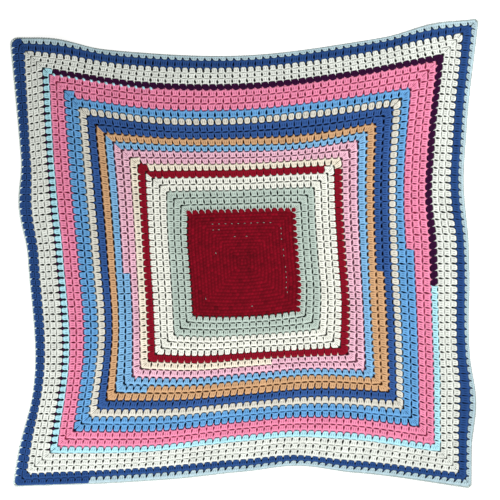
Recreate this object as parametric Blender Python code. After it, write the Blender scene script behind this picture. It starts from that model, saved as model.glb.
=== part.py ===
"""Granny square blanket, worked in the round and laid out flat.

A dense centre square carries twenty-four rounds of three-post clusters and
a narrow edging. Every stretch of one yarn is a sheet of its own, ribbed by
its rounds. Sizes are in millimetres, with +X to the right and +Y up the
blanket, and become metres at the end.
"""
import math

import bmesh
import bpy

MM = 0.001

# Thickness of the crochet
CROWN = 5.0          # top of a round, half way across it
GROOVE = 3.6         # dip between two rounds
CENTRE_TOP = 4.6     # top of the dense centre square
EDGING_TOP = 3.2     # outer lip of the edging
HALF_GAP = 0.15      # each yarn's sheet stops this far short of its neighbour

# The stitch count: a round is as deep as a cluster is wide, so a side has two
# more clusters each round. Rounds are counted from 0 at the centre's rim, and
# below 0 lies the centre.
ROUNDS = 24
CENTRE_HALF = 8.5    # the centre's half width, in clusters
CORNER_HALF = 0.5    # half the cluster that turns each corner
CENTRE_RIM = 0.8     # the centre slopes to its rim over this many rounds
EDGING_ROUND = 24.3  # the edging is 0.3 of a round wide
STEPS_ACROSS = 2     # strips in the half round of each round

# The middle of the finished outline, which becomes the origin
SHEET_MIDDLE = (0.5, -1.5)

SIDES = ("top", "right", "bottom", "left")

# Places of the four corners of a few rounds, before the blanket's waves
CORNERS = (
    # round, top left x, y, top right x, y, bottom right x, y, bottom left x, y
    (0, -112, 82, 100, 87, 109, -114, -102, -125),
    (7, -213, 177, 195, 190, 208, -203, -192, -217),
    (10, -262, 222, 245, 242, 260, -248, -240, -263),
    (13, -314, 275, 297, 292, 304, -294, -293, -311),
    (18, -390, 358, 385, 383, 380, -382, -373, -386),
    (22, -439, 406, 438, 441, 430, -439, -434, -440),
    (23, -452, 420, 455, 456, 444, -453, -445, -452),
    (EDGING_ROUND, -469, 433, 470, 470, 455, -471, -464, -468),
)

# How far out each side of the same rounds lies, a quarter, a half and three
# quarters along it: y for the top and bottom, left to right, and x for the
# right and left, top to bottom
REACH = (
    # round, top, right, bottom, left
    (0, (84, 85, 87), (103, 107, 111), (-127, -126, -122), (-113, -109, -105)),
    (7, (177, 178, 183), (197, 203, 210), (-220, -213, -207), (-207, -201, -195)),
    (10, (215, 215, 220), (243, 247, 253), (-264, -254, -243), (-251, -243, -237)),
    (13, (257, 257, 271), (289, 292, 300), (-310, -297, -286), (-300, -287, -277)),
    (18, (330, 327, 348), (366, 371, 377), (-384, -363, -357), (-379, -361, -349)),
    (22, (376, 372, 397), (418, 426, 428), (-430, -412, -414), (-427, -410, -399)),
    (23, (391, 385, 413), (433, 439, 445), (-442, -424, -426), (-436, -420, -408)),
    (EDGING_ROUND, (403, 395, 424), (445, 450, 456), (-459, -438, -440),
     (-448, -432, -419)),
)

# Loose waves in the outer rounds
WAVES = (
    # side, place along it, half length, push outward, lift, rounds it fades over
    ("top", 0.10, 0.10, 8.0, 5.0, 6.0),
    ("top", 0.90, 0.10, 7.0, 7.0, 6.0),
    ("right", 0.36, 0.13, -14.0, 0.0, 13.0),
    ("right", 0.36, 0.13, 9.0, 0.0, 6.0),
    ("right", 0.67, 0.13, -5.0, 0.0, 8.0),
    ("right", 0.82, 0.10, 7.0, 7.0, 8.0),
    ("bottom", 0.39, 0.14, 3.0, 0.0, 6.0),
    ("bottom", 0.62, 0.13, -11.0, 6.0, 13.0),
    ("left", 0.38, 0.11, 10.0, 8.0, 8.0),
    ("left", 0.90, 0.10, 4.0, 3.0, 7.0),
)

# Yarn of each round, side by side
CHART = (
    # first round, last round, top, right, bottom, left
    (0, 0, "centre", "centre", "centre", "centre"),
    (1, 3, "sage", "sage", "sage", "sage"),
    (4, 5, "white", "white", "white", "white"),
    (6, 6, "red", "white", "white", "white"),
    (7, 7, "cream", "red", "red", "red"),
    (8, 8, "light_pink", "light_pink", "light_pink", "cream"),
    (9, 9, "light_pink", "light_pink", "light_pink", "light_pink"),
    (10, 10, "light_blue", "light_blue", "light_blue", "light_blue"),
    (11, 11, "apricot", "apricot", "apricot", "light_blue"),
    (12, 12, "navy", "apricot", "apricot", "apricot"),
    (13, 13, "navy", "navy", "navy", "navy"),
    (14, 14, "beige", "beige", "beige", "beige"),
    (15, 15, "blue", "blue", "blue", "blue"),
    (16, 16, "pink", "blue", "blue", "blue"),
    (17, 18, "pink", "pink", "pink", "pink"),
    (19, 19, "plum", "cyan", "cyan", "cyan"),
    (20, 22, "pale_cream", "pale_cream", "pale_cream", "pale_cream"),
    (23, 23, "navy_rim", "navy_rim", "navy_rim", "navy_rim"),
    (24, 24, "ice_blue", "ice_blue", "ice_blue", "navy_rim"),
    (25, 25, "edging", "edging", "edging", "edging"),
)

# Where a side starts in another yarn, counted in clusters along it, left to
# right or top to bottom. Rounds 7 and 8 step up at the top left corner.
CHANGES = (
    # round, side, clusters, yarn up to there
    (7, "top", 2, "red"),
    (7, "right", 1, "cream"),
    (8, "top", 4, "cream"),
    (8, "bottom", 19, "cream"),
    (10, "left", 19, "light_pink"),
    (11, "bottom", 4, "light_blue"),
    (12, "right", 22, "navy"),
    (16, "top", 1, "blue"),
    (16, "right", 23, "pink"),
    (19, "top", 1, "cyan"),
    (19, "right", 31, "plum"),
    (24, "top", 1, "navy_rim"),
    (24, "bottom", 10, "navy_rim"),
)

# Stations along a side: few inside, more where the outer rounds wave
FINE_FROM = 13
COARSE_STATIONS = 8
FINE_STATIONS = 16

YARNS = {
    # yarn: node, colour
    "centre": ("centre_square", (0.17, 0.004, 0.012)),
    "sage": ("sage_rounds", (0.40, 0.52, 0.44)),
    "white": ("white_rounds", (0.88, 0.88, 0.80)),
    "red": ("red_round", (0.26, 0.003, 0.014)),
    "cream": ("cream_round", (0.84, 0.76, 0.58)),
    "light_pink": ("light_pink_rounds", (0.78, 0.38, 0.57)),
    "light_blue": ("light_blue_rounds", (0.11, 0.42, 0.86)),
    "apricot": ("apricot_rounds", (0.68, 0.32, 0.10)),
    "navy": ("navy_rounds", (0.02, 0.06, 0.26)),
    "beige": ("beige_round", (0.70, 0.62, 0.45)),
    "blue": ("blue_rounds", (0.07, 0.27, 0.70)),
    "pink": ("pink_rounds", (0.83, 0.14, 0.30)),
    "plum": ("plum_round", (0.035, 0.007, 0.045)),
    "cyan": ("cyan_round", (0.38, 0.76, 0.86)),
    "pale_cream": ("pale_cream_rounds", (0.76, 0.78, 0.68)),
    "navy_rim": ("navy_rim_rounds", (0.02, 0.06, 0.26)),
    "ice_blue": ("ice_blue_round", (0.44, 0.61, 0.67)),
    "edging": ("edging", (0.52, 0.68, 0.72)),
}


def smooth_between(places, values, at):
    """Read a smooth curve through the values at the given places."""
    last = len(places) - 1
    i = next((n for n in range(last) if at <= places[n + 1]), last - 1)
    slopes = []
    for n in (i, i + 1):
        lo = max(n - 1, 0)
        hi = min(n + 1, last)
        slopes.append((values[hi] - values[lo]) / (places[hi] - places[lo]))
    span = places[i + 1] - places[i]
    t = (at - places[i]) / span
    ease = t * t * (3 - 2 * t)
    start = values[i] + slopes[0] * span * t * (1 - t) ** 2
    rise = (values[i + 1] - values[i]) * ease
    return start + rise - slopes[1] * span * t * t * (1 - t)


def control_side(row, side):
    """Five (x, y) points along one side of one round in the tables."""
    _, *corners = CORNERS[row]
    tl, tr, br, bl = (corners[i:i + 2] for i in (0, 2, 4, 6))
    start, end = {
        "top": (tl, tr), "right": (tr, br), "bottom": (bl, br), "left": (tl, bl),
    }[side]
    across = 1 if side in ("top", "bottom") else 0
    points = [start]
    for quarter, reach in zip((0.25, 0.5, 0.75), REACH[row][1 + SIDES.index(side)]):
        point = [a + (b - a) * quarter for a, b in zip(start, end)]
        point[across] = reach
        points.append(point)
    return points + [end]


CONTROL_ROUNDS = [row[0] for row in CORNERS]
CONTROL = {
    side: [control_side(row, side) for row in range(len(CORNERS))] for side in SIDES
}
QUARTERS = (0, 0.25, 0.5, 0.75, 1)
OUTWARD = {"top": (0, 1), "right": (1, 0), "bottom": (0, -1), "left": (-1, 0)}


def wave(side, along, around, column):
    """Sum of one wave column (3 push, 4 lift) at a place in the blanket."""
    total = 0.0
    for row in WAVES:
        away = abs(along - row[1]) / row[2]
        fade = 1 - (EDGING_ROUND - around) / row[5]
        if row[0] == side and away < 1 and fade > 0:
            total += row[column] * (0.5 + 0.5 * math.cos(math.pi * away)) * fade ** 2
    return total


def on_round(side, along, around):
    """Place (x, y) on a side of a round; below round 0 it nears the middle."""
    rim = max(around, 0)
    place = []
    for axis in (0, 1):
        reads = [
            smooth_between(QUARTERS, [p[axis] for p in points], along)
            for points in CONTROL[side]
        ]
        place.append(smooth_between(CONTROL_ROUNDS, reads, rim))
    push = wave(side, along, rim, 3)
    place = [p + push * out for p, out in zip(place, OUTWARD[side])]
    inward = min(around, 0) / CENTRE_HALF
    return [p + (p - m) * inward for p, m in zip(place, middle())]


def middle():
    """The middle of the centre square."""
    corners = CORNERS[0][1:]
    return sum(corners[0::2]) / 4, sum(corners[1::2]) / 4


def change_place(around, clusters):
    """How far along a side a number of clusters reaches, past the corner's own."""
    half_side = CENTRE_HALF + around - 0.5
    return (clusters + CORNER_HALF) / (2 * half_side)


def stations(side, fine):
    """Places along a side that carry a row of points, changes included."""
    count = FINE_STATIONS if fine else COARSE_STATIONS
    places = {i / count for i in range(count + 1)}
    for around, changed, clusters, _ in CHANGES:
        if changed == side and (around > FINE_FROM) == fine:
            places.add(change_place(around, clusters))
    return sorted(places)


def on_chord(side, along, around):
    """Place on the straight runs between the inner rounds' stations."""
    places = stations(side, False)
    i = next(n for n in range(len(places) - 1) if along <= places[n + 1])
    share = (along - places[i]) / (places[i + 1] - places[i])
    a = on_round(side, places[i], around)
    b = on_round(side, places[i + 1], around)
    return [p + (q - p) * share for p, q in zip(a, b)]


def yarn_of(side, along, around):
    """The yarn worked at a place in a round."""
    for row in CHANGES:
        if row[:2] == (around, side) and along < change_place(around, row[2]):
            return row[3]
    row = next(row for row in CHART if row[0] <= around <= row[1])
    return row[2 + SIDES.index(side)]


def top_of(around):
    """Top of the crochet: a crown on each round, a groove between two."""
    if around < 0:
        return CENTRE_TOP
    if around > ROUNDS + 0.5 / STEPS_ACROSS:
        return EDGING_TOP
    return GROOVE if around == round(around) else CROWN


def rows_of(yarn):
    """Rows of points from the innermost to the outermost round of a yarn."""
    worked = [k for first, last, *yarns in CHART if yarn in yarns
              for k in range(first, last + 1)]
    worked += [around for around, _, _, changed in CHANGES if changed == yarn]
    if yarn == "centre":
        return [-CENTRE_HALF, -CENTRE_RIM, 0]
    if yarn == "edging":
        return [ROUNDS, EDGING_ROUND]
    steps = (max(worked) - min(worked) + 1) * STEPS_ACROSS
    return [min(worked) - 1 + i / STEPS_ACROSS for i in range(steps + 1)]


def lay_side(bm, lift, yarn, side):
    """Lay one side of a yarn's rounds as a grid, less what another yarn fills."""
    rows = rows_of(yarn)
    fine = rows[0] >= FINE_FROM
    along = stations(side, fine)
    columns = len(along) - 1
    across = len(rows) - 1
    made = bmesh.ops.create_grid(bm, x_segments=columns, y_segments=across, size=0.5)
    for vert in made["verts"]:
        column = round((vert.co.x + 0.5) * columns)
        row = round((vert.co.y + 0.5) * across)
        vert.co = (along[column], rows[row], 0)
    stray = []
    for face in {face for vert in made["verts"] for face in vert.link_faces}:
        at = face.calc_center_median()
        if yarn_of(side, at.x, max(math.ceil(at.y), 0)) != yarn:
            stray.append(face)
    bmesh.ops.delete(bm, geom=stray, context="FACES")
    for vert in [vert for vert in made["verts"] if vert.is_valid]:
        place, around, _ = vert.co
        lay = on_chord if fine and around == FINE_FROM else on_round
        vert[lift] = wave(side, place, around, 4)
        vert.co = (*lay(side, place, around), top_of(around) + vert[lift])


def yarn_sheet(yarn):
    """One yarn's sheet: its ribbed top, walls and underside."""
    bm = bmesh.new()
    lift = bm.verts.layers.float.new("lift")
    for side in SIDES:
        lay_side(bm, lift, yarn, side)
    bmesh.ops.remove_doubles(bm, verts=bm.verts, dist=0.01)
    bmesh.ops.recalc_face_normals(bm, faces=bm.faces)
    rim = bmesh.ops.inset_region(
        bm, faces=bm.faces[:], use_boundary=True, use_even_offset=True,
        thickness=HALF_GAP,
    )
    bmesh.ops.delete(bm, geom=rim["faces"], context="FACES")
    under = bmesh.ops.extrude_face_region(bm, geom=bm.faces[:])
    for vert in [part for part in under["geom"] if isinstance(part, bmesh.types.BMVert)]:
        vert.co.z = vert[lift]
    bmesh.ops.recalc_face_normals(bm, faces=bm.faces)
    bmesh.ops.translate(bm, vec=(-SHEET_MIDDLE[0], -SHEET_MIDDLE[1], 0), verts=bm.verts)
    bmesh.ops.scale(bm, vec=(MM, MM, MM), verts=bm.verts)
    return bm


def wool(name, colour):
    """A matt yarn of one colour."""
    material = bpy.data.materials.new(name)
    material.use_nodes = True
    shader = material.node_tree.nodes["Principled BSDF"]
    shader.inputs["Base Color"].default_value = (*colour, 1)
    shader.inputs["Roughness"].default_value = 0.9
    shader.inputs["Metallic"].default_value = 0
    return material


def main():
    for old in list(bpy.data.objects):
        bpy.data.objects.remove(old)
    blanket = bpy.data.collections.new("granny_square_blanket")
    bpy.context.scene.collection.children.link(blanket)
    for yarn, (node, colour) in YARNS.items():
        mesh = bpy.data.meshes.new(node)
        bm = yarn_sheet(yarn)
        bm.to_mesh(mesh)
        bm.free()
        mesh.materials.append(wool(node, colour))
        blanket.objects.link(bpy.data.objects.new(node, mesh))


main()
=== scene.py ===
"""Granny square blanket, worked stitch by stitch over its packed sheets.

Rounds of three-post clusters lie on a thin ground of chain loops, outside a
dense centre square and inside a narrow edging. The ground is coloured dark as
painted shade, for the shadow in the gaps between the clusters, and the wool
is painted with shade low on the stitches. The tables of places are the part's
own, in millimetres, with +X to the right and +Y up the blanket. A place is
given by its side, its column, counted in clusters from the middle of that
side, and the rounds it lies outside the centre's rim. Meshes are in metres.
"""

import math

import bmesh
import bpy
import numpy as np
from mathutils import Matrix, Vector


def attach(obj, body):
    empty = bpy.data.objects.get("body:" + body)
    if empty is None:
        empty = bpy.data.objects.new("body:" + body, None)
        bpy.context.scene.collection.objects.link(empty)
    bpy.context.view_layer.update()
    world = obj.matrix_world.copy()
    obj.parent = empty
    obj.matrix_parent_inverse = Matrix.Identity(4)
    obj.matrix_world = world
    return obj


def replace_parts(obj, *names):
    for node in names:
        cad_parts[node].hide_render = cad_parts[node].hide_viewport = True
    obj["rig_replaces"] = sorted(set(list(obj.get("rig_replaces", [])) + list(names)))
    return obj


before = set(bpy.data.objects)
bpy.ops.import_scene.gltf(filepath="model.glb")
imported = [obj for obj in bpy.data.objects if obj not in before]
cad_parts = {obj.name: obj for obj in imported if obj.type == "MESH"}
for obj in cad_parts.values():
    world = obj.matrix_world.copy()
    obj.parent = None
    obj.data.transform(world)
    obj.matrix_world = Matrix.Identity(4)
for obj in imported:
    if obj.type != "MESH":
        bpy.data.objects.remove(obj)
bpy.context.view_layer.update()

bl_info = {
    "name": "Granny Square Blanket",
    "version": (1, 0, 0),
    "blender": (4, 5, 0),
    "location": "3D View > Sidebar > Blanket",
    "description": "Works a granny square blanket over its packed sheets",
    "category": "Add Mesh",
}

MM = 0.001
SIDES = ("top", "right", "bottom", "left")
OUTWARD = {"top": (0, 1), "right": (1, 0), "bottom": (0, -1), "left": (-1, 0)}

ROUNDS = 24
CENTRE_HALF = 8.5      # the centre's half width, in clusters
FIRST_CLUSTERS = 15    # clusters along a side would number this in round 0
EDGING_ROUND = 24.3    # the edging ends here
SHEET_MIDDLE = (0.5, -1.5)    # the outline's middle in these tables
SEED = 24

# Places of the four corners of a few rounds, before the blanket's waves
CORNERS = (
    # round, top left x, y, top right x, y, bottom right x, y, bottom left x, y
    (0, -112, 82, 100, 87, 109, -114, -102, -125),
    (7, -213, 177, 195, 190, 208, -203, -192, -217),
    (10, -262, 222, 245, 242, 260, -248, -240, -263),
    (13, -314, 275, 297, 292, 304, -294, -293, -311),
    (18, -390, 358, 385, 383, 380, -382, -373, -386),
    (22, -439, 406, 438, 441, 430, -439, -434, -440),
    (23, -452, 420, 455, 456, 444, -453, -445, -452),
    (EDGING_ROUND, -469, 433, 470, 470, 455, -471, -464, -468),
)

# How far out each side of the same rounds lies, a quarter, a half and three
# quarters along it: y for the top and bottom, left to right, and x for the
# right and left, top to bottom
REACH = (
    # round, top, right, bottom, left
    (0, (84, 85, 87), (103, 107, 111), (-127, -126, -122), (-113, -109, -105)),
    (7, (177, 178, 183), (197, 203, 210), (-220, -213, -207), (-207, -201, -195)),
    (10, (215, 215, 220), (243, 247, 253), (-264, -254, -243), (-251, -243, -237)),
    (13, (257, 257, 271), (289, 292, 300), (-310, -297, -286), (-300, -287, -277)),
    (18, (330, 327, 348), (366, 371, 377), (-384, -363, -357), (-379, -361, -349)),
    (22, (376, 372, 397), (418, 426, 428), (-430, -412, -414), (-427, -410, -399)),
    (23, (391, 385, 413), (433, 439, 445), (-442, -424, -426), (-436, -420, -408)),
    (EDGING_ROUND, (403, 395, 424), (445, 450, 456), (-459, -438, -440),
     (-448, -432, -419)),
)
QUARTERS = (0, 0.25, 0.5, 0.75, 1)

# Loose waves in the outer rounds
WAVES = (
    # side, place along it, half length, push outward, lift, rounds it fades over
    ("top", 0.10, 0.10, 8.0, 5.0, 6.0),
    ("top", 0.90, 0.10, 7.0, 7.0, 6.0),
    ("right", 0.36, 0.13, -14.0, 0.0, 13.0),
    ("right", 0.36, 0.13, 9.0, 0.0, 6.0),
    ("right", 0.67, 0.13, -5.0, 0.0, 8.0),
    ("right", 0.82, 0.10, 7.0, 7.0, 8.0),
    ("bottom", 0.39, 0.14, 3.0, 0.0, 6.0),
    ("bottom", 0.62, 0.13, -11.0, 6.0, 13.0),
    ("left", 0.38, 0.11, 10.0, 8.0, 8.0),
    ("left", 0.90, 0.10, 4.0, 3.0, 7.0),
)
PUSH, LIFT = 3, 4      # columns of that table

# Yarn of each round, side by side
CHART = (
    # first round, last round, top, right, bottom, left
    (0, 0, "centre", "centre", "centre", "centre"),
    (1, 3, "sage", "sage", "sage", "sage"),
    (4, 5, "white", "white", "white", "white"),
    (6, 6, "red", "white", "white", "white"),
    (7, 7, "cream", "red", "red", "red"),
    (8, 8, "light_pink", "light_pink", "light_pink", "cream"),
    (9, 9, "light_pink", "light_pink", "light_pink", "light_pink"),
    (10, 10, "light_blue", "light_blue", "light_blue", "light_blue"),
    (11, 11, "apricot", "apricot", "apricot", "light_blue"),
    (12, 12, "navy", "apricot", "apricot", "apricot"),
    (13, 13, "navy", "navy", "navy", "navy"),
    (14, 14, "beige", "beige", "beige", "beige"),
    (15, 15, "blue", "blue", "blue", "blue"),
    (16, 16, "pink", "blue", "blue", "blue"),
    (17, 18, "pink", "pink", "pink", "pink"),
    (19, 19, "plum", "cyan", "cyan", "cyan"),
    (20, 22, "pale_cream", "pale_cream", "pale_cream", "pale_cream"),
    (23, 23, "navy_rim", "navy_rim", "navy_rim", "navy_rim"),
    (24, 24, "ice_blue", "ice_blue", "ice_blue", "navy_rim"),
    (25, 25, "edging", "edging", "edging", "edging"),
)

# Where a side has another yarn than its chart row: clusters from and up to
CHANGES = (
    # round, side, from, up to, yarn
    (6, "top", 26, 27, "white"),
    (7, "top", 0, 1, "red"),
    (7, "right", 0, 1, "cream"),
    (8, "top", 0, 1, "cream"),
    (8, "bottom", 0, 19, "cream"),
    (10, "left", 0, 19, "light_pink"),
    (11, "bottom", 0, 4, "light_blue"),
    (12, "right", 0, 22, "navy"),
    (16, "top", 0, 1, "blue"),
    (16, "right", 0, 23, "pink"),
    (19, "top", 0, 1, "cyan"),
    (19, "right", 0, 31, "plum"),
    (24, "top", 0, 1, "navy_rim"),
    (24, "bottom", 0, 10, "navy_rim"),
)

# How two rounds meet. "out": the inner round's clusters end round, and the
# outer yarn runs down between them. "in": the outer round's clusters start
# round, and the inner yarn stands up between them. "both": each is round there.
# Other rounds meet plainly.
MEETINGS = (
    # inner round, top, right, bottom, left
    (0, "out", "out", "in", "in"),
    (3, "in", "plain", "in", "plain"),
    (5, "in", "plain", "plain", "plain"),
    (6, "in", "out", "out", "out"),
    (7, "in", "out", "out", "out"),
    (9, "in", "plain", "in", "plain"),
    (10, "in", "in", "in", "plain"),
    (11, "in", "in", "plain", "plain"),
    (12, "plain", "in", "out", "plain"),
    (13, "in", "in", "in", "in"),
    (14, "out", "out", "in", "in"),
    (15, "in", "plain", "plain", "plain"),
    (16, "plain", "plain", "out", "out"),
    (18, "in", "in", "in", "plain"),
    (19, "out", "out", "plain", "both"),
    (22, "out", "out", "in", "in"),
    (23, "in", "in", "in", "plain"),
    (24, "plain", "plain", "plain", "out"),
)

# Where a yarn stays square beside its round's other yarn, and its gaps there
SQUARE_ENDS = {("right", "cyan"): (0.06, 0.12)}

# Yarn carried along between two rounds, where it shows between the clusters
CARRIED = (
    # inner round, side, from and up to this share of the side, yarn, as
    (7, "right", 0, 1, "cream", "tuft"),
    (7, "bottom", 0.6, 1, "cream", "tuft"),
    (18, "top", 0, 0.27, "cyan", "dot"),
    (19, "left", 0, 1, "plum", "tuft"),
)

# Specks of sage in the centre, in rows
FLECKS = (
    # side, round, from and up to this column, number of specks
    ("top", -2.15, -4.65, 4.6, 10),
    ("top", -3.1, -4.6, -3.7, 2),
    ("top", -4.3, -1.2, 0.7, 2),
    ("right", -2.25, -5.4, -3.6, 3),
    ("right", -2.1, -1.8, -0.8, 2),
    ("right", -2.0, 1.1, 4.6, 5),
    ("right", -1.8, 5.4, 5.4, 1),
    ("left", -4.3, -1.6, -1.6, 1),
    ("left", -2.2, 5.8, 5.8, 1),
    ("bottom", -1.5, 1.1, 1.1, 1),
)

# Slope of the gaps between clusters, in clusters to the right or down for each
# round outward
LEAN = {"top": -0.14, "right": 0.15, "bottom": -0.10, "left": 0}
PLUM_LEAN = {"top": -0.36, "right": -0.34, "bottom": 0, "left": 0}

# Half the gap beside a cluster and at its ends, in clusters
GAPS = (
    # yarn, beside and between at the top and bottom, beside and between at the sides
    ("sage", 0.10, 0.08, 0.06, 0.10),
    ("white", 0.11, 0.08, 0.06, 0.10),
    ("red", 0.02, 0.02, 0.02, 0.02),
    ("cream", 0.11, 0.06, 0.10, 0.05),
    ("light_pink", 0.12, 0.10, 0.09, 0.13),
    ("light_blue", 0.13, 0.11, 0.05, 0.12),
    ("apricot", 0.08, 0.09, 0.03, 0.12),
    ("navy", 0.08, 0.08, 0.04, 0.12),
    ("beige", 0.10, 0.05, 0.06, 0.07),
    ("blue", 0.12, 0.05, 0.09, 0.08),
    ("pink", 0.10, 0.08, 0.09, 0.08),
    ("plum", 0.01, 0.02, 0.01, 0.02),
    ("cyan", 0.09, 0.04, 0.14, 0.02),
    ("pale_cream", 0.125, 0.03, 0.11, 0.04),
    ("navy_rim", 0.08, 0.02, 0.05, 0.03),
    ("ice_blue", 0.12, 0.02, 0.09, 0.02),
)

# Where a cluster's points lie across its three posts and from its inner to its
# outer end, as shares of its half width, with how high they lie
ACROSS = (-1, -0.86, -0.62, -0.34, 0, 0.34, 0.62, 0.86, 1)
ACROSS_HEIGHTS = (0.58, 0.90, 1, 1, 1, 1, 1, 0.90, 0.58)
ALONG = (-1, -0.72, -0.4, 0, 0.4, 0.72, 1)
ALONG_HEIGHTS = (0.62, 0.93, 1, 1, 0.99, 0.93, 0.62)
POST_GROOVES = (0, 0, 0, 0.42, 0, 0.42, 0, 0, 0)
GROOVE_RUN = (0, 0.4, 1, 1, 0.5, 0, 0)

# How far its sides draw in along it, and its ends across it, in shares of a gap
SIDE_DRAW = (0, 0.5, 1.15, 1, 0.5, 0.05, 0)
SHORT_SIDE_DRAW = (0, 0.4, 1.15, 0.85, 0.2, 0, 0)    # at the bottom
END_DRAW = (0, 0.1, 0.75, 1, 1, 1, 0.75, 0.1, 0)

CORNER_HEIGHT = 0.88   # where four clusters meet
CORNER_SLOPE = 0.5     # how much lower half a cluster away
CORNER_LAP = 0.07      # how far clusters reach past the blanket's diagonals
CORNER_TUCK = 0.24     # how far the tips of rounds draw back along them
TUCK_POWER = 5         # how close to the tip that starts
OVERLAP = 0.02         # how far a cluster's corners reach past its cell
JOINED_HEIGHT = 0.82   # beside a cluster that joins its neighbours
JOINED_FROM = 0.3      # where along its outer half it starts to join them

# Round ends of clusters: how much they lose on each side, how far their corners
# draw back, and how close to the end that starts
ROUND_END = (0.14, 0.12, 6)
BOTH_ENDS_ROUND = (0.12, 0.13, 4)
SLIGHTLY_ROUND = {"plum": (0.05, 0.05, 4), "navy_rim": (0.09, 0.07, 6)}

# How much hand-worked clusters differ
SIZE_SPREAD = 0.018
SLIP_SPREAD = 0.014
TURN_SPREAD = 0.03
HEIGHT_SPREAD = 0.04

# Drops of yarn, in clusters, with heights in shares of the crown
DROPS = {
    # name: width, length outward and back, height, taper, share of height at the rim
    "bump": (0.20, 0.26, 0.30, 0.84, 0.35, 0.75),
    "wedge": (0.25, 0.36, 0.30, 0.80, 0.85, 0.7),
    "spike": (0.14, 0.40, 0.24, 0.92, 0.85, 0.75),
    "thorn": (0.17, 0.40, 0.20, 1.04, 0.85, 0.85),
    "dot": (0.20, 0.18, 0.30, 1.12, 0, 0.93),
    "scallop": (0.44, 0.34, 0.40, 1.04, 0.3, 0.8),
    "fleck": (0.15, 0.055, 0.055, 1.06, 0, 0.9),
    "edging": (0.24, 0.5, 0.8, 1, 0.3, 0.8),
}
DROP_SIDES = 8
EDGING_DROPS = 3       # beside each cluster

# The dense centre's fine rows
CENTRE_STEPS = 204
CENTRE_ROWS = 1.88     # to a cluster's width
CENTRE_POSTS = 1.7     # to a cluster's width
CENTRE_RELIEF = (0.60, 0.11, 0.29)    # its floor, its rows and its posts
CENTRE_RIM = 0.35      # how far in from its rim it slopes, and how low it starts
CENTRE_OFFSET = 20     # keeps the numbers of its stitches above 0
CENTRE_COUNT = (20, 60)    # its rows outward and its stitches along, at most

# The ground: a thin sheet under the clusters, coloured dark as painted shade for the shadow in
# the gaps between them
GROUND_TOP = 1.3
GROUND_BOTTOM = 0.4
GROUND_STEPS = 48
GROUND_END = EDGING_ROUND - 0.08
GROUND_WELD = 0.00002  # joins the ground's four sides, in metres

# Painted shade of each yarn: how dark its colour is painted low on a cluster,
# and how much of its colour the ground below keeps as painted shade in the gaps
SHADES = {
    "red": (0.2, 0.9), "plum": (0.2, 0.9), "pink": (0.62, 0.75),
    "light_pink": (0.72, 0.35), "apricot": (0.66, 0.3), "cyan": (0.6, 0.12),
}
PLAIN_SHADES = (0.66, 0.10)
# How dark the painted shade is low on the centre, on its scallops and on its specks
CENTRE_DEPTH, SCALLOP_DEPTH, FLECK_DEPTH = 0.75, 0.5, 0.3

# Painted light and shade: how much lighter or darker the edging is coloured on each side
EDGING_PAINTED_LIGHT = {"top": -9.0, "right": -8.0, "bottom": -6.0, "left": 5.0}

# How much deeper the centre's specks look, and how uneven its stitches
FLECK_SHADE = -12.0
CENTRE_SHADE = 3.5

# How far the corners at a side's start and end are pulled in, in millimetres
CORNER_PULL = {"top": (8, 4), "right": (4, 3), "bottom": (4, 3), "left": (8, 4)}
PULL_FROM = 21         # the round where that starts
PULL_WIDTH = 0.2       # clusters along a side for each millimetre of it
CORNER_AWAY = 650      # how far a corner lies from the middle, in millimetres

# Yarn as the shaders see it, with places on a cluster in its own cell, and the painted shade
# low on the stitches and on the lines between their posts
POST_LINE = 0.15       # how far the lines between the posts lie from its middle
POST_MIDDLE = 0.52
LINE_EDGES = (0.03, 0.08)
LINE_ENDS = (0.12, 0.2)
# painted shade on the lines between the posts: how much of its colour the yarn loses there
LINE_SHADE = 0.5
LOFT_EDGES = (0.25, 0.9)
PAINTED_SHADE_POWER = 1.4     # turns a yarn's colour into the colour of its painted shade
TINT_STEP = 0.035
LEAST_TINT = 0.88
FIBRE_TINT = 0.24
FIBRE_SCALE = 700
PLY_SCALE = 2.2
PLY_RELIEF = 0.25

LAMPS = {
    # name: place
    "right_light": (1.2, 0.5, 1.15),
    "front_light": (-0.5, -1.2, 1.15),
}
LAMP_SIZE = 0.9
SEEN_MIDDLE = (0.0115, 0.0075)    # what lies straight below the camera


def linear(red, green, blue):
    """A colour given in 0 to 255 as a screen shows it, in linear light."""
    return tuple(
        value / 12.92 if value <= 0.04045 else ((value + 0.055) / 1.055) ** 2.4
        for value in (red / 255, green / 255, blue / 255)
    )


def yarn_colour(name, shown):
    """The setting of one yarn's colour."""
    return bpy.props.FloatVectorProperty(
        name=name, description=f"Colour of the {name.lower()} yarn",
        subtype="COLOR", size=3, min=0, max=1, default=linear(*shown),
    )


class BlanketYarns(bpy.types.PropertyGroup):
    """The yarns' colours, from the centre out."""

    centre: yarn_colour("Centre", (127, 4, 27))
    sage: yarn_colour("Sage", (191, 207, 198))
    white: yarn_colour("White", (244, 245, 236))
    red: yarn_colour("Red", (138, 12, 36))
    cream: yarn_colour("Cream", (244, 234, 216))
    light_pink: yarn_colour("Light pink", (244, 193, 213))
    light_blue: yarn_colour("Light blue", (133, 187, 230))
    apricot: yarn_colour("Apricot", (214, 170, 128))
    navy: yarn_colour("Navy", (54, 92, 156))
    beige: yarn_colour("Beige", (222, 219, 208))
    blue: yarn_colour("Blue", (108, 169, 223))
    pink: yarn_colour("Pink", (242, 144, 179))
    plum: yarn_colour("Plum", (50, 8, 50))
    cyan: yarn_colour("Cyan", (181, 233, 246))
    pale_cream: yarn_colour("Pale cream", (231, 235, 229))
    navy_rim: yarn_colour("Navy rim", (41, 76, 134))
    ice_blue: yarn_colour("Ice blue", (181, 205, 214))
    edging: yarn_colour("Edging", (204, 219, 217))


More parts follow.
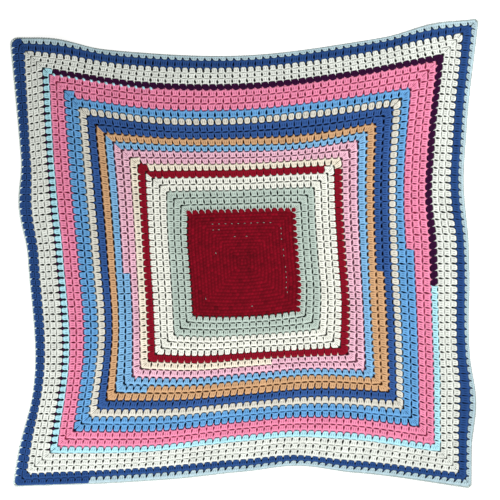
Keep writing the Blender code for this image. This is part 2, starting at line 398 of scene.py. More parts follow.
NODES = {
    "centre": "centre_square", "sage": "sage_rounds", "white": "white_rounds",
    "red": "red_round", "cream": "cream_round", "light_pink": "light_pink_rounds",
    "light_blue": "light_blue_rounds", "apricot": "apricot_rounds",
    "navy": "navy_rounds", "beige": "beige_round", "blue": "blue_rounds",
    "pink": "pink_rounds", "plum": "plum_round", "cyan": "cyan_round",
    "pale_cream": "pale_cream_rounds", "navy_rim": "navy_rim_rounds",
    "ice_blue": "ice_blue_round", "edging": "edging",
}
SLOTS = {yarn: "yarn_" + yarn for yarn in NODES}
SLOTS["centre"] = "yarn_dark_red"


class BlanketStitches(bpy.types.PropertyGroup):
    """Sizes of the crochet."""

    crown: bpy.props.FloatProperty(
        name="Crown", description="Height of a cluster, in millimetres",
        default=5.0, min=2, max=8,
    )
    centre_height: bpy.props.FloatProperty(
        name="Centre height", description="Height of the dense centre, in millimetres",
        default=4.6, min=2, max=8,
    )
    edging_height: bpy.props.FloatProperty(
        name="Edging height", description="Height of the edging, in millimetres",
        default=3.4, min=1, max=6,
    )
    unevenness: bpy.props.FloatProperty(
        name="Unevenness", description="How much hand-worked stitches differ",
        default=1.0, min=0, max=2,
    )


class BlanketStage(bpy.types.PropertyGroup):
    """The camera and the lights."""

    view_width: bpy.props.FloatProperty(
        name="View width", description="Width of what the camera sees",
        subtype="DISTANCE", unit="LENGTH", default=1.0, min=0.2, max=5,
    )
    lens: bpy.props.FloatProperty(
        name="Lens", description="The camera's focal length, in millimetres",
        default=85, min=20, max=200,
    )
    right_power: bpy.props.FloatProperty(
        name="Right light", description="Power of the soft light above the right side",
        subtype="POWER", unit="POWER", default=23, min=0, max=500,
    )
    front_power: bpy.props.FloatProperty(
        name="Front light", description="Power of the soft light above the bottom side",
        subtype="POWER", unit="POWER", default=23, min=0, max=500,
    )
    surroundings: bpy.props.FloatProperty(
        name="Surroundings", description="Strength of the light all round",
        default=0.15, min=0, max=3,
    )


# The blanket's shape

def curve_weights(places, at):
    """How much each place's value counts on a smooth curve read at some places."""
    places = np.array(places, float)
    last = len(places) - 1
    i = np.clip(np.searchsorted(places, at) - 1, 0, last - 1)
    span = places[i + 1] - places[i]
    t = (at - places[i]) / span
    ease = t * t * (3 - 2 * t)
    rows = np.arange(len(at))
    weights = np.zeros((len(at), last + 1))
    weights[rows, i] = 1 - ease
    weights[rows, i + 1] = ease
    start = span * t * (1 - t) ** 2
    end = -span * t * t * (1 - t)
    for n, pull in ((i, start), (i + 1, end)):
        lo = np.maximum(n - 1, 0)
        hi = np.minimum(n + 1, last)
        slope = pull / (places[hi] - places[lo])
        weights[rows, hi] += slope
        weights[rows, lo] -= slope
    return weights


def control_points(side):
    """Five points along one side of each round in the tables."""
    start, end = {"top": (0, 1), "right": (1, 2), "bottom": (3, 2), "left": (0, 3)}[side]
    across = 1 if side in ("top", "bottom") else 0
    rows = []
    for corners, reach in zip(CORNERS, REACH):
        corner = np.array(corners[1:], float).reshape(4, 2)
        row = corner[start] + np.outer(QUARTERS, corner[end] - corner[start])
        row[1:4, across] = reach[1 + SIDES.index(side)]
        rows.append(row)
    return np.array(rows)


CONTROL = {side: control_points(side) for side in SIDES}
CENTRE_MIDDLE = np.array(CORNERS[0][1:], float).reshape(4, 2).mean(axis=0)


def corner_pull(side, along, around):
    """How far places near the ends of a side draw in toward the blanket's middle."""
    away = np.minimum(along, 1 - along) * 2 * (around + CENTRE_HALF)
    fade = np.clip((around - PULL_FROM) / (EDGING_ROUND - PULL_FROM), 0, 1)
    pull = np.where(along < 0.5, *CORNER_PULL[side])
    return pull * np.maximum(1 - away / (PULL_WIDTH * pull), 0) ** 2 * fade


def wave(side, along, around, column):
    """Sum of one column of the waves at places in the blanket."""
    total = np.zeros(len(along))
    for row in WAVES:
        if row[0] == side:
            away = np.minimum(abs(along - row[1]) / row[2], 1)
            fade = np.maximum(1 - (EDGING_ROUND - around) / row[5], 0)
            total += row[column] * (0.5 + 0.5 * np.cos(np.pi * away)) * fade ** 2
    return total


def lay(side, column, around, height):
    """Places in metres of points of one side, with heights in millimetres."""
    shape = np.broadcast_shapes(*(np.shape(a) for a in (column, around, height)))
    column, around, height = (
        np.broadcast_to(a, shape).ravel().astype(float) for a in (column, around, height)
    )
    along = 0.5 + 0.5 * column / np.maximum(around + CENTRE_HALF, 1e-6)
    rim = np.maximum(around, 0)
    rounds = curve_weights([row[0] for row in CORNERS], rim)
    flat = np.einsum("ni,nj,ijk->nk", rounds, curve_weights(QUARTERS, along), CONTROL[side])
    flat += wave(side, along, rim, PUSH)[:, None] * np.array(OUTWARD[side])
    inward = np.minimum(around, 0) / CENTRE_HALF
    inward -= corner_pull(side, along, rim) / CORNER_AWAY
    flat += (flat - CENTRE_MIDDLE) * inward[:, None]
    raised = height + wave(side, along, rim, LIFT)
    places = np.column_stack((flat - SHEET_MIDDLE, raised)) * MM
    return places.reshape(*shape, 3)


def mirrored(side):
    """Whether a side's columns and rounds run the other way round."""
    return side in ("bottom", "left")


# The stitch count

def count_in(around):
    """Clusters along a side of a round."""
    return FIRST_CLUSTERS + 2 * around


def border(around, number):
    """The column where a numbered cluster of a round starts."""
    half_side = CENTRE_HALF + around - 0.5
    return (2 * np.asarray(number) / count_in(around) - 1) * half_side


def yarn_of(side, around, number):
    """The yarn of one cluster."""
    for changed, where, first, last, yarn in CHANGES:
        if (changed, where) == (around, side) and first <= number < last:
            return yarn
    row = next(row for row in CHART if row[0] <= around <= row[1])
    return row[2 + SIDES.index(side)]


def meeting(side, inner):
    """How a round meets the next on one side."""
    for row in MEETINGS:
        if row[0] == inner:
            return row[1 + SIDES.index(side)]
    return "plain"


# Stitches: one closed template of each kind, laid many times

class Template:
    """A stitch's points and faces, with how high on the stitch each point is."""

    def __init__(self, bm, crown):
        bmesh.ops.recalc_face_normals(bm, faces=bm.faces)
        bm.verts.index_update()
        self.points = np.array([vert.co for vert in bm.verts])
        self.loft = self.points[:, 2] / crown
        self.faces = [[vert.index for vert in face.verts] for face in bm.faces]
        bm.free()

    def corners(self, flipped):
        faces = [face[::-1] for face in self.faces] if flipped else self.faces
        return np.concatenate(faces)

    def sizes(self):
        return np.array([len(face) for face in self.faces])


def close_under(bm):
    """Walls down from the open rim of a stitch, and a flat underside."""
    rim = [edge for edge in bm.edges if edge.is_boundary]
    wall = bmesh.ops.extrude_edge_only(bm, edges=rim)
    for vert in wall["geom"]:
        if isinstance(vert, bmesh.types.BMVert):
            vert.co.z = 0
    bmesh.ops.holes_fill(bm, edges=[e for e in bm.edges if e.is_boundary], sides=0)


def cluster_template(inner, outer, yarn, gaps, crown, side_draw):
    """Three posts side by side in a cell one cluster wide and one round deep."""
    beside, between = gaps
    usual = BOTH_ENDS_ROUND if inner == outer == "round" else ROUND_END
    narrow, tuck, power = SLIGHTLY_ROUND.get(yarn, usual)
    bm = bmesh.new()
    columns, rows = len(ACROSS) - 1, len(ALONG) - 1
    bmesh.ops.create_grid(bm, x_segments=columns, y_segments=rows, size=1)
    for vert in bm.verts:
        i = round((vert.co.x + 1) / 2 * columns)
        j = round((vert.co.y + 1) / 2 * rows)
        u, v = ACROSS[i], ALONG[j]
        end = outer if v > 0 else inner
        side, tip = abs(u), abs(v)
        half = 0.5 + OVERLAP - (beside + OVERLAP) * side_draw[j]
        reach = 0.5 + OVERLAP - (between + OVERLAP) * END_DRAW[i]
        height = ACROSS_HEIGHTS[i] * ALONG_HEIGHTS[j]
        if end == "round":
            half = min(half, 0.5 - beside) - narrow * tip ** power
            reach -= tuck * side ** power
        else:
            corner = CORNER_HEIGHT - CORNER_SLOPE * (1 - min(side, tip))
            height = max(height, corner)
        if end == "joined" and tip > JOINED_FROM:
            half = 0.5 + OVERLAP
            reach = 0.5 + OVERLAP
            height = max(height, JOINED_HEIGHT)
        height *= 1 - POST_GROOVES[i] * GROOVE_RUN[j]
        vert.co = (u * half, v * reach + 0.5, height * crown)
    close_under(bm)
    return Template(bm, crown)


def drop_template(kind, crown):
    """A drop of yarn that points outward."""
    width, length, back, share, taper, rim = DROPS[kind]
    height = share * crown
    bm = bmesh.new()
    bmesh.ops.create_circle(bm, cap_ends=True, radius=1, segments=DROP_SIDES)
    for vert in bm.verts:
        vert.co.x *= width * (1 - taper * max(vert.co.y, 0))
        vert.co.y *= length if vert.co.y > 0 else back
        vert.co.z = height * rim
    top = bmesh.ops.poke(bm, faces=bm.faces[:])
    top["verts"][0].co.z = height
    close_under(bm)
    return Template(bm, crown)


class Stitches:
    """Stitches of one yarn, gathered until they are joined as one mesh."""

    def __init__(self, seed):
        self.random = np.random.default_rng(seed)
        self.batches = []

    def add(self, template, places, flipped, shade=0.0):
        """Add a template's stitches at places shaped (stitches, points, 3)."""
        many, points = places.shape[:2]
        # each stitch's tint: random tone about the given shade, which on the edging is painted
        # light and shade
        tint = np.repeat(self.random.normal(shade, 1, many), points)
        loft = np.tile(template.loft, many)
        cell = np.tile(template.points[:, :2], (many, 1))
        corners = template.corners(flipped)
        sizes = template.sizes()
        self.batches.append((
            places.reshape(-1, 3), np.tile(corners, many),
            np.repeat(np.arange(many) * points, len(corners)), np.tile(sizes, many),
            tint, loft, cell,
        ))

    def joined(self, name, material):
        """The finished piece."""
        places, corners, starts, sizes, tint, loft, cell = zip(*self.batches)
        before = np.cumsum([0] + [len(part) for part in places[:-1]])
        corners = np.concatenate([c + s + b for c, s, b in zip(corners, starts, before)])
        places, sizes, tint, loft, cell = (
            np.concatenate(part) for part in (places, sizes, tint, loft, cell)
        )
        mesh = bpy.data.meshes.new(name)
        mesh.vertices.add(len(places))
        mesh.vertices.foreach_set("co", places.ravel())
        mesh.loops.add(len(corners))
        mesh.loops.foreach_set("vertex_index", corners)
        mesh.polygons.add(len(sizes))
        mesh.polygons.foreach_set("loop_start", np.cumsum(sizes) - sizes)
        mesh.polygons.foreach_set("use_smooth", np.ones(len(sizes), bool))
        mesh.update(calc_edges=True)
        for title, values in (("tint", tint), ("loft", loft)):
            mesh.attributes.new(title, "FLOAT", "POINT").data.foreach_set("value", values)
        uv = mesh.uv_layers.new(name="yarn")
        uv.data.foreach_set("uv", cell[corners].ravel())
        mesh.materials.append(material)
        return finished_piece(name, mesh)


def finished_piece(name, mesh):
    """A new object of the blanket that moves with it."""
    piece = bpy.data.objects.new(name, mesh)
    bpy.context.scene.collection.objects.link(piece)
    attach(piece, "root")
    return piece


def stand_for(piece, yarn):
    """Let a piece show in place of its yarn's packed sheet."""
    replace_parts(piece, NODES[yarn])


# Finishes

def maths(tree, operation, *values):
    """The result of a maths node of sockets and numbers."""
    node = tree.nodes.new("ShaderNodeMath")
    node.operation = operation
    for socket, value in zip(node.inputs, values):
        if isinstance(value, float):
            socket.default_value = value
        else:
            tree.links.new(value, socket)
    return node.outputs[0]


def ramp(tree, value, edges):
    """A value's smooth rise from 0 to 1 between two edges."""
    node = tree.nodes.new("ShaderNodeMapRange")
    node.interpolation_type = "SMOOTHSTEP"
    node.inputs["From Min"].default_value, node.inputs["From Max"].default_value = edges
    tree.links.new(value, node.inputs["Value"])
    return node.outputs[0]


def between_posts(tree, cell):
    """0 on the two short lines between a cluster's three posts, 1 elsewhere."""
    place = tree.nodes.new("ShaderNodeSeparateXYZ")
    tree.links.new(cell, place.inputs[0])
    across = maths(tree, "ABSOLUTE", place.outputs["X"])
    across = maths(tree, "ABSOLUTE", maths(tree, "SUBTRACT", across, POST_LINE))
    along = maths(tree, "SUBTRACT", place.outputs["Y"], POST_MIDDLE)
    along = maths(tree, "ABSOLUTE", along)
    return maths(
        tree, "MAXIMUM", ramp(tree, across, LINE_EDGES), ramp(tree, along, LINE_ENDS),
    )


def wool(name, colour, painted_shade_depth):
    """Matt plied yarn, each stitch a little different, with painted shade low on the stitches
    and on the lines between their posts.
    """
    material = bpy.data.materials.new(name)
    material.use_nodes = True
    tree = material.node_tree
    nodes = tree.nodes
    shader = nodes["Principled BSDF"]
    shader.inputs["Roughness"].default_value = 0.9
    shader.inputs["Sheen Weight"].default_value = 0.06
    shader.inputs["Sheen Roughness"].default_value = 0.5
    shader.inputs["Specular IOR Level"].default_value = 0.08

    coordinates = nodes.new("ShaderNodeTexCoord")
    fibres = nodes.new("ShaderNodeTexNoise")
    fibres.inputs["Scale"].default_value = FIBRE_SCALE
    fibres.inputs["Detail"].default_value = 3
    tree.links.new(coordinates.outputs["Object"], fibres.inputs["Vector"])

    cell = nodes.new("ShaderNodeUVMap")
    cell.uv_map = "yarn"
    posts = between_posts(tree, cell.outputs[0])
    loft = nodes.new("ShaderNodeAttribute")
    loft.attribute_name = "loft"
    # painted shade: the colour darkens low on the stitches, by their height, and on the lines
    # between the posts
    raised = ramp(tree, loft.outputs["Fac"], LOFT_EDGES)
    kept = maths(tree, "MULTIPLY_ADD", posts, LINE_SHADE, 1 - LINE_SHADE)
    raised = maths(tree, "MULTIPLY", raised, kept)
    painted_shade_mix = nodes.new("ShaderNodeMix")
    painted_shade_mix.data_type = "RGBA"
    # the colour of the painted shade
    painted_low_shade = [(1 - painted_shade_depth) * value ** PAINTED_SHADE_POWER for value in colour]
    painted_shade_mix.inputs["A"].default_value = (*painted_low_shade, 1)
    painted_shade_mix.inputs["B"].default_value = (*colour, 1)
    tree.links.new(raised, painted_shade_mix.inputs["Factor"])

    tint = nodes.new("ShaderNodeAttribute")
    tint.attribute_name = "tint"
    # the tint: random tone of each stitch, and on the edging its painted side light and shade
    varied = maths(tree, "MULTIPLY_ADD", tint.outputs["Fac"], TINT_STEP, LEAST_TINT)
    fuzzy = maths(tree, "MULTIPLY_ADD", fibres.outputs["Fac"], FIBRE_TINT, varied)
    worked = nodes.new("ShaderNodeVectorMath")
    worked.operation = "SCALE"
    tree.links.new(painted_shade_mix.outputs[2], worked.inputs[0])
    tree.links.new(fuzzy, worked.inputs["Scale"])
    tree.links.new(worked.outputs[0], shader.inputs["Base Color"])

    plies = nodes.new("ShaderNodeTexWave")
    plies.bands_direction = "DIAGONAL"
    plies.inputs["Scale"].default_value = PLY_SCALE
    plies.inputs["Distortion"].default_value = 0.6
    tree.links.new(cell.outputs[0], plies.inputs["Vector"])
    relief = maths(tree, "ADD", fibres.outputs["Fac"], posts)
    relief = maths(tree, "MULTIPLY_ADD", plies.outputs["Fac"], PLY_RELIEF, relief)
    bump = nodes.new("ShaderNodeBump")
    bump.inputs["Strength"].default_value = 0.5
    bump.inputs["Distance"].default_value = 0.0004
    tree.links.new(relief, bump.inputs["Height"])
    tree.links.new(bump.outputs[0], shader.inputs["Normal"])
    return material


def painted_shade_finish():
    """Chain loops under the clusters, coloured as painted shade: a darkened share of their
    yarn's colour for the shadow in the gaps.
    """
    material = bpy.data.materials.new("painted_shade_chain_loops")
    material.use_nodes = True
    tree = material.node_tree
    shader = tree.nodes["Principled BSDF"]
    shader.inputs["Roughness"].default_value = 0.95
    shader.inputs["Specular IOR Level"].default_value = 0.05
    yarn = tree.nodes.new("ShaderNodeAttribute")
    yarn.attribute_name = "painted_gap_shade"
    coordinates = tree.nodes.new("ShaderNodeTexCoord")
    loops = tree.nodes.new("ShaderNodeTexNoise")
    loops.inputs["Scale"].default_value = 300
    tree.links.new(coordinates.outputs["Object"], loops.inputs["Vector"])
    mottled = tree.nodes.new("ShaderNodeVectorMath")
    mottled.operation = "SCALE"
    tree.links.new(yarn.outputs["Color"], mottled.inputs[0])
    tree.links.new(loops.outputs["Fac"], mottled.inputs["Scale"])
    tree.links.new(mottled.outputs[0], shader.inputs["Base Color"])
    bump = tree.nodes.new("ShaderNodeBump")
    bump.inputs["Distance"].default_value = 0.0005
    tree.links.new(loops.outputs["Fac"], bump.inputs["Height"])
    tree.links.new(bump.outputs[0], shader.inputs["Normal"])
    return material


# Pieces

def lean_of(side, yarn):
    """How far a yarn's clusters slope on one side."""
    return (PLUM_LEAN if yarn == "plum" else LEAN)[side]


def gaps_of(side, yarn):
    """Half the gap beside a yarn's clusters and at their ends."""
    if (side, yarn) in SQUARE_ENDS:
        return SQUARE_ENDS[side, yarn]
    row = next(row for row in GAPS if row[0] == yarn)
    return row[1:3] if side in ("top", "bottom") else row[3:5]


def lay_clusters(side, around, numbers, template, lean, random, unevenness):
    """Places of a template in some of a round's cells."""
    across, out, height = template.points.T
    many = (len(numbers), 1)
    size = 1 + random.normal(0, SIZE_SPREAD, many) * unevenness
    slip = random.normal(0, SLIP_SPREAD, many) * unevenness
    turn = random.normal(0, TURN_SPREAD, many) * unevenness
    stand = 1 + random.normal(0, HEIGHT_SPREAD, many) * unevenness
    across, out = (
        across * size + slip + turn * (out - 0.5),
        0.5 + (out - 0.5) * size - turn * across,
    )
    numbers = numbers[:, None]
    last = count_in(around) - 1
    near = np.where(numbers == last, 0.5 + across, 0)
    near = np.where(numbers == 0, 0.5 - across, near)
    out = out - CORNER_TUCK * np.clip(near * out, 0, 1) ** TUCK_POWER
    reach = CENTRE_HALF + around - 1 + out
    start = np.where(numbers == 0, -reach - CORNER_LAP, border(around, numbers))
    end = np.where(numbers == last, reach + CORNER_LAP, border(around, numbers + 1))
    column = start + (end - start) * (across + 0.5)
    column += lean * (out - 0.5) * ((numbers > 0) & (numbers < last))
    return lay(side, column, around - 1 + out, height * stand)


def runs_of_yarn(side, around):
    """Each yarn's clusters in a round, as (yarn, numbers)."""
    yarns = [yarn_of(side, around, number) for number in range(count_in(around))]
    return [
        (yarn, np.flatnonzero([name == yarn for name in yarns])) for yarn in sorted(set(yarns))
    ]


def ends_of(side, around, yarn):
    """How a round's clusters of one yarn start and end on one side."""
    if (side, yarn) in SQUARE_ENDS:
        return "plain", "plain"
    inner = "round" if meeting(side, around - 1) in ("in", "both") else "plain"
    outer = "round" if meeting(side, around) in ("out", "both") else "plain"
    return inner, "joined" if around == ROUNDS else outer


def work_rounds(heaps, crown, unevenness):
    """Lay every cluster of every round."""
    templates = {}
    for around in range(1, ROUNDS + 1):
        for side in SIDES:
            for yarn, numbers in runs_of_yarn(side, around):
                inner, outer = ends_of(side, around, yarn)
                draw = SHORT_SIDE_DRAW if side == "bottom" else SIDE_DRAW
                kind = (inner, outer, yarn, gaps_of(side, yarn), crown, draw)
                if kind not in templates:
                    templates[kind] = cluster_template(*kind)
                template = templates[kind]
                heap = heaps[yarn]
                places = lay_clusters(
                    side, around, numbers, template, lean_of(side, yarn),
                    heap.random, unevenness,
                )
                heap.add(template, places, mirrored(side))


def carried_yarn(side, inner, share):
    """The yarn that shows carried between two rounds at a place, and its look."""
    for between, where, first, last, yarn, look in CARRIED:
        if (between, where) == (inner, side) and first <= share <= last:
            return yarn, look
    return None, "tuft"


def work_tufts(heaps, crown):
    """Yarn that shows between clusters where two rounds meet, for the yarns wanted."""
    drops = {kind: drop_template(kind, crown) for kind in DROPS}
    for row in MEETINGS:
        inner = row[0]
        for side in SIDES:
            kind = meeting(side, inner)
            if kind == "plain":
                continue
            rising = kind in ("in", "both")
            usual, shade = "spike", 0.0
            if rising:
                usual = "wedge" if side == "bottom" else "bump"
            # the edging's thorns take its painted side light and shade
            if inner == ROUNDS:
                usual, shade = "thorn", EDGING_PAINTED_LIGHT[side]
            beside = inner + 1 if rising else max(inner, 1)
            host = inner if rising else inner + 1
            lean = lean_of(side, yarn_of(side, beside, 1))
            for number in range(1, count_in(beside)):
                share = number / count_in(beside)
                number_there = int(share * count_in(host))
                carried, look = carried_yarn(side, inner, share)
                yarn = carried or yarn_of(side, host, number_there)
                if yarn not in heaps:
                    continue
                template = drops["dot" if look == "dot" else usual]
                across, out, height = template.points.T
                if not rising:
                    out = -out
                column = border(beside, number) + lean * (inner - beside + 0.5 + out)
                places = lay(side, column + across, inner + out, height)[None]
                flipped = mirrored(side) == rising
                heaps[yarn].add(template, places, flipped, shade)


def work_scallops(heap, crown):
    """Round bumps of the centre's rim between the first clusters' feet."""
    template = drop_template("scallop", crown)
    across, out, height = template.points.T
    for side in ("top", "right"):
        for number in range(count_in(1)):
            column = border(1, number + 0.5)
            places = lay(side, column + across, out, height)[None]
            heap.add(template, places, mirrored(side))


def work_flecks(heap, crown):
    """Specks of the next yarn that show in the dense centre."""
    template = drop_template("fleck", crown)
    across, out, height = template.points.T
    for side, around, first, last, many in FLECKS:
        for column in np.linspace(first, last, many):
            places = lay(side, column + across, around + out, height)[None]
            heap.add(template, places, mirrored(side), FLECK_SHADE)


def centre_sheet(height):
    """The dense centre: tight rounds of small stitches that slope at the rim."""
    bm = bmesh.new()
    bmesh.ops.create_grid(
        bm, x_segments=CENTRE_STEPS, y_segments=CENTRE_STEPS, size=CENTRE_HALF,
    )
    close_under(bm)
    points = np.array([vert.co for vert in bm.verts])
    x, y = points[:, 0].copy(), points[:, 1].copy()
    top = np.ones(len(points), bool)
    top[(CENTRE_STEPS + 1) ** 2:] = False
    out = np.maximum(abs(x), abs(y))
    along = np.where(abs(x) > abs(y), y, x)
    row = np.floor(CENTRE_ROWS * out)
    rows = 0.5 + 0.5 * np.cos(2 * np.pi * CENTRE_ROWS * out)
    post = CENTRE_POSTS * along + 0.5 * row
    posts = 0.5 - 0.5 * np.cos(2 * np.pi * post)
    least, in_rows, in_posts = CENTRE_RELIEF
    relief = least + in_rows * (1 - rows) + in_posts * posts * (1 - rows)
    stitch = np.floor(post + CENTRE_OFFSET)
    shades = np.random.default_rng(SEED).normal(0, CENTRE_SHADE, CENTRE_COUNT)
    tint = shades[row.astype(int), stitch.astype(int)]
    rim = np.clip((CENTRE_HALF - out) / CENTRE_RIM, 0, 1)
    relief *= CENTRE_RIM + (1 - CENTRE_RIM) * np.sqrt(rim)
    places = np.zeros((len(points), 3))
    inside = {
        "top": y >= abs(x), "bottom": -y >= abs(x),
        "right": x > abs(y), "left": -x >= abs(y),
    }
    done = np.zeros(len(points), bool)
    for side, there in inside.items():
        there = there & ~done
        done |= there
        column = x if side in ("top", "bottom") else -y
        places[there] = lay(
            side, column[there], out[there] - CENTRE_HALF, (relief * height * top)[there],
        )
    for vert, place in zip(bm.verts, places):
        vert.co = place
    bmesh.ops.recalc_face_normals(bm, faces=bm.faces)
    mesh = bpy.data.meshes.new("dense_centre")
    bm.to_mesh(mesh)
    bm.free()
    mesh.polygons.foreach_set("use_smooth", np.ones(len(mesh.polygons), bool))
    mesh.attributes.new("tint", "FLOAT", "POINT").data.foreach_set("value", tint)
    # the centre's height, which its wool darkens low down as painted shade
    mesh.attributes.new("loft", "FLOAT", "POINT").data.foreach_set("value", relief * top)
    uv = mesh.uv_layers.new(name="yarn")
    cell = np.column_stack((along + CENTRE_OFFSET, out))
    corner = np.zeros(len(mesh.loops), int)
    mesh.loops.foreach_get("vertex_index", corner)
    uv.data.foreach_set("uv", cell[corner].ravel())
    return mesh


def painted_shade_ground(yarns):
    """The thin ground of chain loops, dark with each yarn's painted shade on its rounds, for
    the shadow in the gaps.
    """
    bm = bmesh.new()
    shade = bm.loops.layers.float_color.new("painted_gap_shade")
    rounds = np.array([-CENTRE_HALF, *range(ROUNDS + 1), GROUND_END])
    strips = len(rounds) - 1
    for side in SIDES:
        made = bmesh.ops.create_grid(bm, x_segments=GROUND_STEPS, y_segments=strips, size=0.5)
        verts = made["verts"]
        for face in {face for vert in verts for face in vert.link_faces}:
            at = face.calc_center_median()
            around = math.floor((at.y + 0.5) * strips)
            number = int((at.x + 0.5) * count_in(around))
            yarn = yarn_of(side, around, number)
            # painted shade: the ground keeps a share of its yarn's colour, squared, for the
            # shadow in the gaps
            keeps = SHADES.get(yarn, PLAIN_SHADES)[1]
            colour = [keeps * value ** 2 for value in getattr(yarns, yarn)]
            for loop in face.loops:
                loop[shade] = (*colour, 1)
        around = rounds[[round((vert.co.y + 0.5) * strips) for vert in verts]]
        along = np.array([vert.co.x + 0.5 for vert in verts])
        column = (2 * along - 1) * (around + CENTRE_HALF)
        for vert, place in zip(verts, lay(side, column, around, GROUND_TOP)):
            vert.co = place
    bmesh.ops.remove_doubles(bm, verts=bm.verts, dist=GROUND_WELD)
    bmesh.ops.recalc_face_normals(bm, faces=bm.faces)
    area = sum(face.calc_area() for face in bm.faces)
    under = bmesh.ops.extrude_face_region(bm, geom=bm.faces[:])
    down = [part for part in under["geom"] if isinstance(part, bmesh.types.BMVert)]
    bmesh.ops.translate(bm, vec=(0, 0, (GROUND_BOTTOM - GROUND_TOP) * MM), verts=down)
    bmesh.ops.recalc_face_normals(bm, faces=bm.faces)
    mesh = bpy.data.meshes.new("painted_shade_chain_ground")
    bm.to_mesh(mesh)
    bm.free()
    mesh.materials.append(painted_shade_finish())
    return mesh, area


class OBJECT_OT_blanket_centre(bpy.types.Operator):
    """Work the dense centre square"""

    bl_idname = "object.blanket_centre"
    bl_label = "Centre Square"

    def execute(self, context):
        scene = context.scene
        mesh = centre_sheet(scene.blanket_stitches.centre_height)
        yarns = scene.blanket_yarns
        mesh.materials.append(wool("dense_dark_red_wool", yarns.centre, CENTRE_DEPTH))
        stand_for(finished_piece("dense_centre", mesh), "centre")
        rim = Stitches(SEED)
        crown = scene.blanket_stitches.crown
        work_scallops(rim, crown)
        work_tufts({"centre": rim}, crown)
        finish = wool("scallop_dark_red_wool", yarns.centre, SCALLOP_DEPTH)
        stand_for(rim.joined("centre_scallops", finish), "centre")
        flecks = Stitches(SEED)
        work_flecks(flecks, scene.blanket_stitches.centre_height)
        finish = wool("fleck_sage_wool", yarns.sage, FLECK_DEPTH)
        stand_for(flecks.joined("centre_flecks", finish), "centre")
        return {"FINISHED"}


class OBJECT_OT_blanket_rounds(bpy.types.Operator):
    """Work the twenty-four rounds of three-post clusters"""

    bl_idname = "object.blanket_rounds"
    bl_label = "Rounds of Clusters"

    def execute(self, context):
        scene = context.scene
        stitches = scene.blanket_stitches
        worked = [yarn for yarn in NODES if yarn not in ("centre", "edging")]
        heaps = {yarn: Stitches(SEED + n) for n, yarn in enumerate(worked)}
        work_rounds(heaps, stitches.crown, stitches.unevenness)
        work_tufts(heaps, stitches.crown)
        for yarn, heap in heaps.items():
            # how dark each yarn's painted shade is low on its clusters
            painted_shade_depth = SHADES.get(yarn, PLAIN_SHADES)[0]
            finish = wool(yarn + "_wool", getattr(scene.blanket_yarns, yarn), painted_shade_depth)
            stand_for(heap.joined(yarn + "_clusters", finish), yarn)
        return {"FINISHED"}


class OBJECT_OT_blanket_edging(bpy.types.Operator):
    """Work the narrow edging"""

    bl_idname = "object.blanket_edging"
    bl_label = "Edging"

    def execute(self, context):
        scene = context.scene
        template = drop_template("edging", scene.blanket_stitches.edging_height)
        across, out, height = template.points.T
        around = ROUNDS + (EDGING_ROUND - ROUNDS) * (0.5 + out)
        longer = 1 + 0.5 / (CENTRE_HALF + ROUNDS)    # than the last round's side
        heap = Stitches(SEED)
        for side in SIDES:
            places = []
            for number in range(EDGING_DROPS * count_in(ROUNDS)):
                column = border(ROUNDS, (number + 0.5) / EDGING_DROPS) * longer
                places.append(lay(side, column + across, around, height))
            # each side's edging takes its painted light and shade
            heap.add(template, np.array(places), mirrored(side), EDGING_PAINTED_LIGHT[side])
        work_tufts({"edging": heap}, scene.blanket_stitches.crown)
        finish = wool("edging_wool", scene.blanket_yarns.edging, PLAIN_SHADES[0])
        stand_for(heap.joined("edging_stitches", finish), "edging")
        return {"FINISHED"}


class OBJECT_OT_blanket_ground(bpy.types.Operator):
    """Lay the thin ground of chain loops under the stitches, dark with painted shade"""

    bl_idname = "object.blanket_ground"
    bl_label = "Chain Ground"

    def execute(self, context):
        mesh, area = painted_shade_ground(context.scene.blanket_yarns)
        ground = finished_piece("painted_shade_chain_ground", mesh)
        return {"FINISHED"}


class SCENE_OT_blanket_stage(bpy.types.Operator):
    """Set the floor, the soft lights and the camera above the blanket"""

    bl_idname = "scene.blanket_stage"
    bl_label = "Stage"

    def execute(self, context):
        scene = context.scene
        stage = scene.blanket_stage
        set_floor()
        set_lights(scene, stage)
        set_camera(scene, stage)
        return {"FINISHED"}


def set_floor():
    """A plain white floor."""
    bm = bmesh.new()
    bmesh.ops.create_grid(bm, x_segments=1, y_segments=1, size=6)
    mesh = bpy.data.meshes.new("floor")
    bm.to_mesh(mesh)
    bm.free()
    material = bpy.data.materials.new("plain_white_floor")
    material.use_nodes = True
    shader = material.node_tree.nodes["Principled BSDF"]
    shader.inputs["Base Color"].default_value = (0.8, 0.8, 0.8, 1)
    shader.inputs["Roughness"].default_value = 0.9
    shader.inputs["Emission Color"].default_value = (1, 1, 1, 1)
    shader.inputs["Emission Strength"].default_value = 0.6
    mesh.materials.append(material)
    floor = bpy.data.objects.new("floor", mesh)
    bpy.context.scene.collection.objects.link(floor)


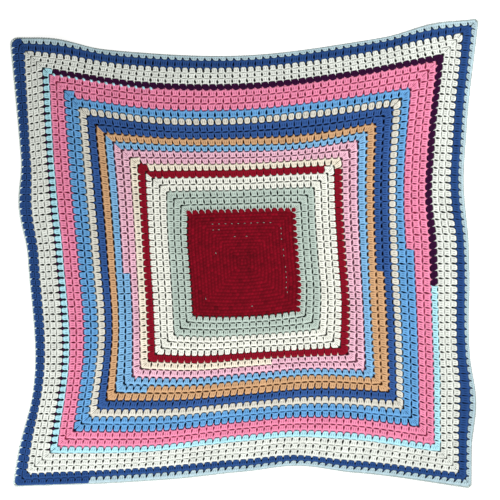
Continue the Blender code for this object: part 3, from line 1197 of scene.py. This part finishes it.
def set_lights(scene, stage):
    """Two broad soft lights over even surroundings."""
    world = bpy.data.worlds.new("soft_surroundings")
    world.use_nodes = True
    background = world.node_tree.nodes["Background"]
    background.inputs["Color"].default_value = (1, 0.99, 0.86, 1)
    background.inputs["Strength"].default_value = stage.surroundings
    scene.world = world
    scene.view_settings.view_transform = "Standard"
    powers = {"right_light": stage.right_power, "front_light": stage.front_power}
    for name, power in powers.items():
        light = bpy.data.lights.new(name, "AREA")
        light.shape = "DISK"
        light.size = LAMP_SIZE
        light.energy = power
        lamp = bpy.data.objects.new(name, light)
        lamp.location = LAMPS[name]
        toward = Vector((0, 0, 0)) - lamp.location
        lamp.rotation_euler = toward.to_track_quat("-Z", "Y").to_euler()
        scene.collection.objects.link(lamp)


def set_camera(scene, stage):
    """A camera straight above the blanket."""
    data = bpy.data.cameras.new("camera")
    data.lens = stage.lens
    camera = bpy.data.objects.new("camera", data)
    above = stage.view_width * stage.lens / data.sensor_width
    camera.location = (*SEEN_MIDDLE, above)
    scene.collection.objects.link(camera)
    scene.camera = camera


OPERATORS = (
    OBJECT_OT_blanket_centre, OBJECT_OT_blanket_rounds, OBJECT_OT_blanket_edging,
    OBJECT_OT_blanket_ground, SCENE_OT_blanket_stage,
)


class VIEW3D_PT_blanket(bpy.types.Panel):
    """The blanket's pieces, sizes and colours"""

    bl_label = "Granny Square Blanket"
    bl_idname = "VIEW3D_PT_blanket"
    bl_space_type = "VIEW_3D"
    bl_region_type = "UI"
    bl_category = "Blanket"

    def draw(self, context):
        layout = self.layout
        for operator in OPERATORS:
            layout.operator(operator.bl_idname)
        for group in GROUPS:
            settings = getattr(context.scene, group)
            for name in settings.__annotations__:
                layout.prop(settings, name)


GROUPS = {
    "blanket_yarns": BlanketYarns,
    "blanket_stitches": BlanketStitches,
    "blanket_stage": BlanketStage,
}
CLASSES = (*GROUPS.values(), *OPERATORS, VIEW3D_PT_blanket)


def register():
    for cls in CLASSES:
        bpy.utils.register_class(cls)
    for name, group in GROUPS.items():
        setattr(bpy.types.Scene, name, bpy.props.PointerProperty(type=group))


def unregister():
    for name in GROUPS:
        delattr(bpy.types.Scene, name)
    for cls in reversed(CLASSES):
        bpy.utils.unregister_class(cls)


def main():
    register()
    bpy.ops.object.blanket_centre()
    bpy.ops.object.blanket_rounds()
    bpy.ops.object.blanket_edging()
    bpy.ops.object.blanket_ground()
    bpy.ops.scene.blanket_stage()


if __name__ == "__main__":
    main()
